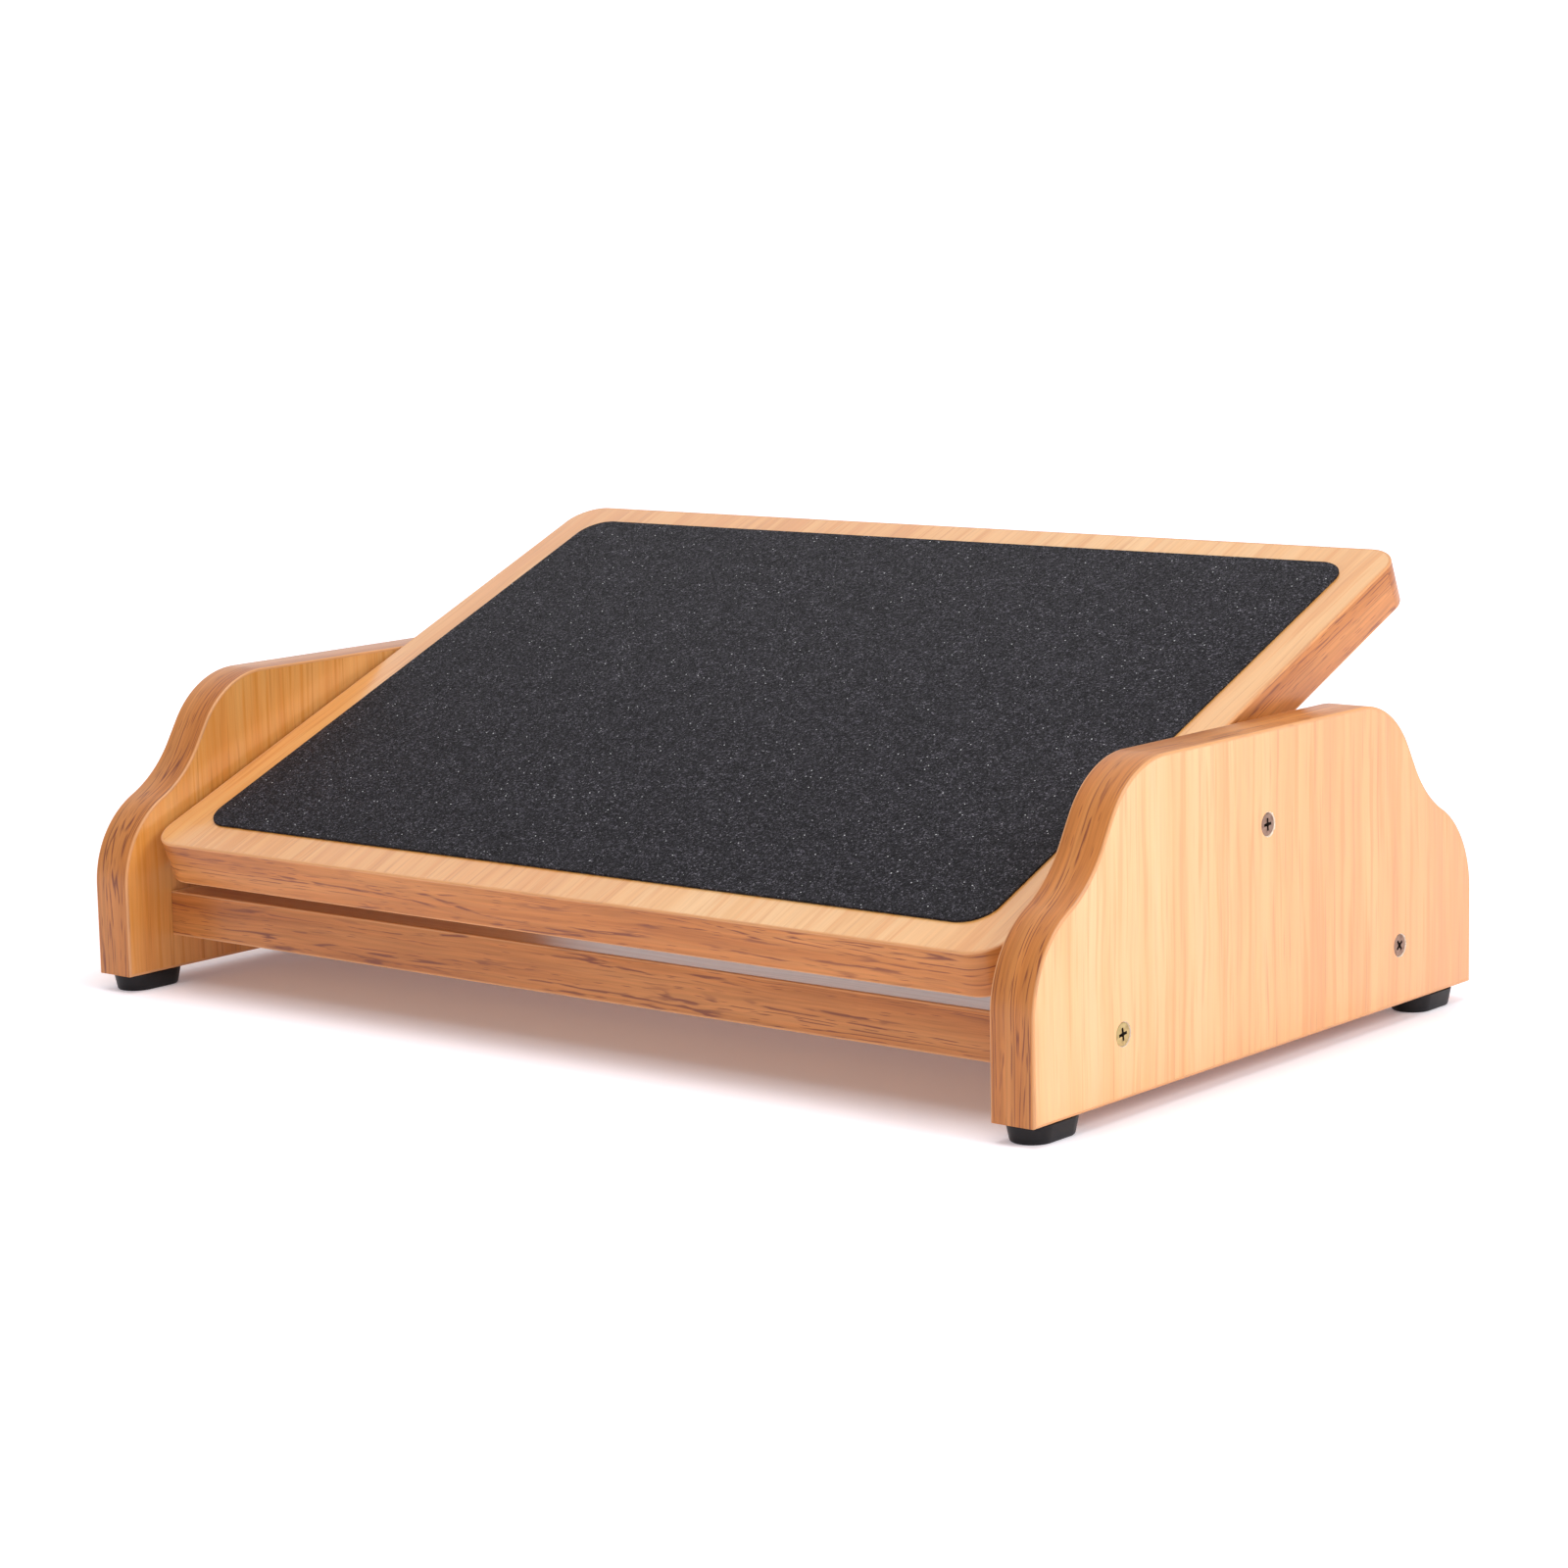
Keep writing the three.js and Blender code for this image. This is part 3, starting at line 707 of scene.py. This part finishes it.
def pan_head_screw(name, place, finish, length):
    """A screw with a domed head standing above 0 and its thread pointing down Z."""
    head, rise, shank = PAN_HEAD, PAN_RISE, PAN_SHANK
    rings = [ring_of(0.05 * MM, rise), ring_of(head * 0.45, rise - 0.03 * MM),
             ring_of(head * 0.75, rise * 0.88), ring_of(head * 0.94, rise * 0.62),
             ring_of(head, rise * 0.3), ring_of(head, 0.05 * MM),
             ring_of(head - 0.1 * MM, 0), ring_of(shank * 0.8, 0)]
    rings += threaded(shank, THREAD_ROOT * shank, -0.3 * MM, -length, pitch=1.4 * MM, tip=4 * MM)
    screw = new_piece(name, skin(rings, caps=True), Matrix.Identity(4), finish)
    recess = cross_recess(head, 1.5 * MM)
    for cutter in recess:
        cutter.matrix_world = Matrix.Translation((0, 0, rise)) @ cutter.matrix_world
    carve(screw, recess)
    screw.matrix_world = place
    return screw


bright_zinc = plated("bright zinc", (0.62, 0.61, 0.60), (0.47, 0.46, 0.46), 0.28)
for end in ENDS:
    for side in SIDES:
        low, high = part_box(f"foot_screw_{end}_{side}")
        seat = ((low.x + high.x) / 2, (low.y + high.y) / 2, low.z + PAN_RISE)
        place = Matrix.Translation(seat) @ upside_down
        length = high.z - low.z - PAN_RISE
        screw = pan_head_screw(f"{end}_{side}_foot_screw", place, bright_zinc, length)
        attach(screw, "base")
        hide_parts(f"foot_screw_{end}_{side}")

# --------------------------------------------------------------- pivot batten
# A 57 mm batten of the same board lies under the tread, with the pivot line through
# it. The tread is screwed to it from below, and the pivot screws run into its ends.

tread_axis = Vector(next(m["axis"] for m in frame["record"]["mounts"] if m["name"] == "grip_face"))
TILT = math.atan2(-tread_axis.y, tread_axis.z)
on_tread = Matrix.Translation(pivot) @ Matrix.Rotation(TILT, 4, "X")
TREAD_SCREWS = 4
TREAD_SCREW_HEAD = 3.8 * MM
TREAD_SCREW_SHANK = 1.9 * MM
BATTEN_CUT_FROM = (1.1, 0.2)


def level_box(name):
    """A CAD node's box in the tread's own level frame, where the pivot is at 0."""
    points = [on_tread.inverted() @ v.co for v in frame["nodes"][name].data.vertices]
    low = Vector([min(p[i] for p in points) for i in range(3)])
    high = Vector([max(p[i] for p in points) for i in range(3)])
    return low, high


def batten_screw_bore(i):
    """The cutter for one of the screws that hold the tread to its batten."""
    low, high = level_box(f"batten_screw_{i}")
    head, bore = TREAD_SCREW_HEAD + BORE_GAP, TREAD_SCREW_SHANK + BORE_GAP
    past = 1 * MM
    depth = high.z - low.z + past
    profile = [(bore, -depth), (bore, bore - head - HEAD_SINK), (head, -HEAD_SINK), (head, past)]
    mouth = Matrix.Translation(((low.x + high.x) / 2, 0, low.z - HEAD_SINK))
    return turned("batten_bore", profile, 32, on_tread @ mouth @ upside_down, core_wood)


low, high = level_box("pivot_batten")
half_length = (high.x - low.x) / 2
half_width = (high.y - low.y) / 2
batten = slab("tread_batten", rectangle(half_width, half_length), low.z, high.z, on_tread @ lengthwise,
              BATTEN_CUT_FROM)
bores = [batten_screw_bore(i + 1) for i in range(TREAD_SCREWS)]
for side, outwards in SIDES.items():
    pivot_face = Vector((outwards * OUTER_X, pivot.y, pivot.z))
    bores.append(screw_seat("pivot_bore", pivot_face, outwards, PIVOT_SCREW_LENGTH))
carve(batten, bores)
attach(batten, "tread")
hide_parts("pivot_batten")
for edge, facing_way in ENDS.items():
    low, high = level_box(f"batten_edging_{edge}")
    place = on_tread @ strip_place(Vector((0, 0, 0)), low, high, facing_way)
    strip = edge_strip(f"batten_{edge}_strip", straight_edge(half_length), low.z, high.z,
                       place, closed=False)
    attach(strip, "tread")
    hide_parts(f"batten_edging_{edge}")

# ---------------------------------------------------------------- tread board
# The tread: 18 mm board with its grain front to back and its corners rounded to
# 14 mm, edged all round with the same brown strip as the panels.

TREAD_CORNER = 14 * MM
TREAD_CUT_FROM = (0.03, 0.6)
tread_low, tread_high = level_box("tread_edging")
TREAD_MIDDLE = (tread_low + tread_high) / 2
TREAD_HALF = (tread_high - tread_low) / 2


def rounded_rectangle(half_x, half_y, radius, middle_y, steps):
    """A rectangle with round corners, anticlockwise."""
    points = []
    for quarter, (sx, sy) in enumerate(((1, 1), (-1, 1), (-1, -1), (1, -1))):
        centre = (sx * (half_x - radius), middle_y + sy * (half_y - radius))
        points += arc(centre, radius, quarter * math.pi / 2, (quarter + 1) * math.pi / 2, steps)
    return points


def tread_outline(inset):
    """The tread's edge, moved inwards by a distance."""
    half_x, half_y = TREAD_HALF.x - inset, TREAD_HALF.y - inset
    return rounded_rectangle(half_x, half_y, TREAD_CORNER - inset, TREAD_MIDDLE.y, steps=14)


tread = slab("tilting_tread", tread_outline(STRIP + SEAM), tread_low.z, tread_high.z, on_tread,
             TREAD_CUT_FROM)
carve(tread, [batten_screw_bore(i + 1) for i in range(TREAD_SCREWS)])
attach(tread, "tread")
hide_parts("tread_board")

strip = edge_strip("tread_strip", tread_outline, tread_low.z, tread_high.z, on_tread)
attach(strip, "tread")
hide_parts("tread_edging")

# -------------------------------------------------------------- batten screws
# Four countersunk screws, 3.8 mm thick, driven up through the batten into the
# tread's underside and short of its face.

for i in range(TREAD_SCREWS):
    low, high = level_box(f"batten_screw_{i + 1}")
    mouth = Matrix.Translation(((low.x + high.x) / 2, 0, low.z))
    spin = Matrix.Rotation(0.4 + 0.5 * i, 4, "Z")    # each cross was left at its own turn
    place = on_tread @ mouth @ upside_down @ spin
    screw = countersunk_screw(f"tread_screw_{i + 1}", place, antique_brown, high.z - low.z,
                              TREAD_SCREW_HEAD, TREAD_SCREW_SHANK)
    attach(screw, "tread")
    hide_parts(f"batten_screw_{i + 1}")

# ----------------------------------------------------- pivot screws and spacers
# One long countersunk screw through each panel is the hinge. A round nylon spacer
# on it keeps the tread off the panel and gives the friction that holds the tilt.

SPACER_EASE = 0.4 * MM
PIVOT_SCREW_TURN = 4        # degrees


def dark_nylon():
    """Moulded nylon with a fine spark-eroded texture and faint flow marks."""
    material, tree, shader = new_finish("dark nylon", Roughness=0.5)
    where = node(tree, "TexCoord").outputs["Object"]
    flow = streaks(tree, where, (150, 150, 150), 2.0, detail=2.0)
    colour = ramp(tree, flow, [(0.3, (0.018, 0.018, 0.019)), (0.7, (0.032, 0.032, 0.034))])
    tree.links.new(colour, shader.inputs["Base Color"])
    texture = streaks(tree, where, (3500, 3500, 3500), 7.0, detail=1.0)
    relief(tree, shader, texture, 0.25, 0.1 * MM)
    return material


nylon = dark_nylon()
for side, outwards in SIDES.items():
    where = Vector((outwards * (OUTER_X - HEAD_SINK), pivot.y, pivot.z))
    spin = Matrix.Rotation(math.radians(PIVOT_SCREW_TURN), 4, "Z")
    place = Matrix.Translation(where) @ facing[outwards] @ spin
    screw = countersunk_screw(f"{side}_pivot_screw", place, antique_brown, PIVOT_SCREW_LENGTH)
    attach(screw, "tread")
    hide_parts(f"pivot_screw_{side}")

    low, high = level_box(f"pivot_spacer_{side}")
    half, rim, hole = (high.x - low.x) / 2, (high.y - low.y) / 2, SCREW_SHANK + BORE_GAP
    ease = SPACER_EASE
    profile = [(hole, -half + ease / 2), (hole + ease / 2, -half), (rim - ease, -half), (rim, -half + ease),
               (rim, half - ease), (rim - ease, half), (hole + ease / 2, half), (hole, half - ease / 2)]
    rings = [ring_of(radius, z, 64) for radius, z in profile]
    place = on_tread @ Matrix.Translation(((low.x + high.x) / 2, 0, 0)) @ facing[1]
    spacer = new_piece(f"{side}_pivot_spacer", skin(rings, closed_along=True), place, nylon)
    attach(spacer, "tread")
    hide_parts(f"pivot_spacer_{side}")

# ----------------------------------------------------------------- grip sheet
# A charcoal grit sheet, like the face of a skateboard, stuck on the tread. It is
# die-cut with rounded corners; the grit makes its cut edge slightly ragged, and
# a few single grains carry a painted highlight, a near-white spot in the colour.

GRIP_CORNER = 12 * MM
GRIP_STEP = 0.7 * MM        # between points along the cut edge
GRIP_RAG = 0.07 * MM        # the most that a grain pulls the cut edge in
GRIP_EASE = 0.25 * MM       # how deep the cut edge is rounded


def charcoal_grit():
    """Packed mineral grains: each its own grey and tilted its own way, a few with a painted sparkle highlight of
    near-white colour.
    """
    material, tree, shader = new_finish("charcoal grit", IOR=1.5, Specular_IOR_Level=0.2)
    where = node(tree, "TexCoord").outputs["Object"]
    grains = node(tree, "TexVoronoi", {"Vector": where, "Scale": 2300.0, "Randomness": 1.0})
    tone = node(tree, "SeparateColor", {"Color": grains.outputs["Color"]})
    colour = ramp(tree, tone.outputs[0], [(0.0, (0.0065, 0.006, 0.008)), (0.55, (0.017, 0.0155, 0.020)),
                                          (0.9, (0.047, 0.044, 0.053)), (1.0, (0.115, 0.108, 0.124))])
    clumps = node(tree, "TexVoronoi", {"Vector": where, "Scale": 1050.0, "Randomness": 1.0})
    clump = node(tree, "SeparateColor", {"Color": clumps.outputs["Color"]})
    shade = ramp(tree, clump.outputs[0], [(0.0, 0.45), (0.7, 0.95), (1.0, 2.0)])
    colour = mix(tree, 1.0, colour, shade, "MULTIPLY")
    patches = streaks(tree, where, (160, 160, 160), 3.0, detail=4.0)
    colour = mix(tree, 1.0, colour, ramp(tree, patches, [(0.3, 0.80), (0.7, 1.20)]), "MULTIPLY")
    # Painted highlight: a few small near-white spots in the colour stand in for grains catching the light.
    painted_sparkle_cells = node(tree, "TexVoronoi", {"Vector": where, "Scale": 720.0, "Randomness": 1.0})
    chosen = node(tree, "SeparateColor", {"Color": painted_sparkle_cells.outputs["Color"]})
    few = ramp(tree, chosen.outputs[1], [(0.84, 0.0), (0.92, 0.22), (0.96, 0.4), (0.972, 1.0)])
    near = ramp(tree, painted_sparkle_cells.outputs["Distance"], [(0.14, 1.0), (0.22, 0.0)])
    painted_sparkle = mix(tree, 1.0, few, near, "MULTIPLY")
    colour = mix(tree, painted_sparkle, colour, (0.88, 0.89, 0.92, 1))
    tree.links.new(colour, shader.inputs["Base Color"])
    tree.links.new(ramp(tree, tone.outputs[1], [(0.0, 0.95), (1.0, 0.55)]), shader.inputs["Roughness"])
    relief(tree, shader, tone.outputs[2], 0.8, 0.3 * MM)
    return material


grit = charcoal_grit()
grip_low, grip_high = level_box("grip_sheet")
grip_half = (grip_high - grip_low) / 2
grip_middle = (grip_high.y + grip_low.y) / 2
corners = rounded_rectangle(grip_half.x, grip_half.y, GRIP_CORNER, grip_middle, steps=24)
chance = random.Random(11)
cut_edge = []
for here, there in zip(corners, corners[1:] + corners[:1]):
    pieces = max(1, round(math.dist(here, there) / GRIP_STEP))
    for i in range(pieces):
        x, y = (here[k] + (there[k] - here[k]) * i / pieces for k in (0, 1))
        pull = 1 - GRIP_RAG * chance.random() / math.hypot(x, y - grip_middle)
        cut_edge.append((x * pull, grip_middle + (y - grip_middle) * pull))


def grip_ring(inset, z):
    """The cut edge at a height, pulled in towards the sheet's middle."""
    return [(x - math.copysign(min(inset, abs(x)), x), y - math.copysign(inset, y - grip_middle), z)
            for x, y in cut_edge]


rings = [grip_ring(0, grip_low.z), grip_ring(0, grip_high.z - GRIP_EASE),
         grip_ring(0.4 * GRIP_EASE, grip_high.z - 0.3 * GRIP_EASE), grip_ring(1.2 * GRIP_EASE, grip_high.z)]
sheet = new_piece("grit_sheet", skin(rings, caps=True), on_tread, grit)
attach(sheet, "tread")
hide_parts("grip_sheet")

# ------------------------------------------------------- floor, light and camera
# A white studio floor that glows as painted light, more far off, with its glow cut back
# under the board to a painted shadow; a lit white backdrop, one softbox overhead and one
# on the right, a reflector panel high at the left rear, and a long lens low in front
# of the right corner.

FLOOR_HALF = 12.0
# Painted shadow: inside this box under the board the floor's emission is cut back.
PAINTED_SHADOW_HALF = (0.23, 0.105, 0)    # the floor under the board stays in shade


def white_floor_painted_light():
    """Matt white acrylic, faintly cool and uneven, with painted light: it emits a little outside the board and
    more far off, and this emission is cut back under the board as a painted shadow.
    """
    material, tree, shader = new_finish("white floor with painted light", Roughness=0.9, Specular_IOR_Level=0.1)
    where = node(tree, "TexCoord").outputs["Object"]
    haze = streaks(tree, where, (2, 2, 2), 1.0, detail=2.0)
    tint = ramp(tree, haze, [(0.3, (0.95, 0.915, 0.945)), (0.7, (0.965, 0.93, 0.96))])
    tree.links.new(tint, shader.inputs["Base Color"])
    reach = node(tree, "VectorMath", {0: where}, operation="ABSOLUTE").outputs[0]
    beyond = node(tree, "VectorMath", {0: reach, 1: PAINTED_SHADOW_HALF}, operation="SUBTRACT").outputs[0]
    outside = node(tree, "VectorMath", {0: beyond, 1: (0, 0, 0)}, operation="MAXIMUM").outputs[0]
    away = node(tree, "VectorMath", {0: outside}, operation="LENGTH").outputs["Value"]
    # Painted light and shadow: emission that is weak under the board, rising beyond its edge and again far off.
    painted_light_near = fade(tree, away, 0.0, 0.045, 0.09, 0.34)
    painted_light_far = fade(tree, away, 0.3, 1.4, 0.0, 0.40)
    painted_floor_light = worked(tree, painted_light_near, painted_light_far, "ADD")
    shader.inputs["Emission Color"].default_value = (0.96, 0.92, 1.0, 1)
    tree.links.new(painted_floor_light, shader.inputs["Emission Strength"])
    return material


floor_shape = bmesh.new()
bmesh.ops.create_grid(floor_shape, x_segments=2, y_segments=2, size=FLOOR_HALF)
floor = new_piece("studio_floor", floor_shape, Matrix.Identity(4), white_floor_painted_light())

EVEN_LIGHT = 0.36
PANEL_WAY = Vector((-0.62, 0.37, 0.68))
PANEL_LIGHT = 0.70
PANEL_SPREAD = 6.0
BACKDROP_WAY = Vector((-0.63, 0.77, 0.0))
BACKDROP_LIGHT = 1.15
SIDE_LIGHT = 0.50           # low down and away from the backdrop
world = bpy.data.worlds.new("studio surround")
world.use_nodes = True
sky = world.node_tree
way = node(sky, "TexCoord").outputs["Generated"]
height = node(sky, "SeparateXYZ", {"Vector": way}).outputs["Z"]
towards_panel = node(sky, "VectorMath", {0: way, 1: PANEL_WAY}, operation="DOT_PRODUCT").outputs["Value"]
lobe = worked(sky, worked(sky, towards_panel, 0.0, "MAXIMUM"), PANEL_SPREAD, "POWER")
walls = node(sky, "Math", {0: lobe, 1: PANEL_LIGHT, 2: EVEN_LIGHT}, operation="MULTIPLY_ADD").outputs[0]
low_down = fade(sky, height, 0.12, 0.30, 1.0, 0.0)
behind = node(sky, "VectorMath", {0: way, 1: BACKDROP_WAY}, operation="DOT_PRODUCT").outputs["Value"]
backdrop = fade(sky, behind, 0.2, 0.7, SIDE_LIGHT, BACKDROP_LIGHT)
level = node(sky, "Mix", {0: low_down, 2: walls, 3: backdrop}, data_type="FLOAT").outputs[0]
sky.nodes["Background"].inputs["Color"].default_value = (1.0, 0.985, 0.995, 1)
sky.links.new(level, sky.nodes["Background"].inputs["Strength"])
bpy.context.scene.world = world
bpy.context.scene.view_settings.view_transform = "Standard"

SOFTBOX_SIZE = 1.2
SOFTBOX_AIM = Vector((0, 0, 0.05))


def softbox(name, place, power):
    """A square soft light that faces the board."""
    lamp = bpy.data.lights.new(name, "AREA")
    lamp.size = SOFTBOX_SIZE
    lamp.energy = power
    box = bpy.data.objects.new(name, lamp)
    bpy.context.scene.collection.objects.link(box)
    box.location = place
    box.rotation_euler = (SOFTBOX_AIM - Vector(place)).to_track_quat("-Z", "Y").to_euler()


softbox("overhead softbox", (0.2, -0.3, 2.0), 19)
softbox("right softbox", (2.0, 0.2, 1.4), 29)

LENS = 92.1
SENSOR = 36.0
CAMERA_PLACE = (0.9834, -1.1885, 0.3288)
CAMERA_TURN = math.radians(39.34)
CAMERA_DIP = math.radians(9.04)
CAMERA_ROLL = math.radians(-1.195)
camera_data = bpy.data.cameras.new("long lens")
camera_data.lens = LENS
camera_data.sensor_width = SENSOR
camera = bpy.data.objects.new("long lens", camera_data)
bpy.context.scene.collection.objects.link(camera)
camera.matrix_world = (Matrix.Translation(CAMERA_PLACE)
                       @ Matrix.Rotation(CAMERA_TURN, 4, "Z")
                       @ Matrix.Rotation(math.pi / 2 - CAMERA_DIP, 4, "X")
                       @ Matrix.Rotation(CAMERA_ROLL, 4, "Z"))
bpy.context.scene.camera = camera
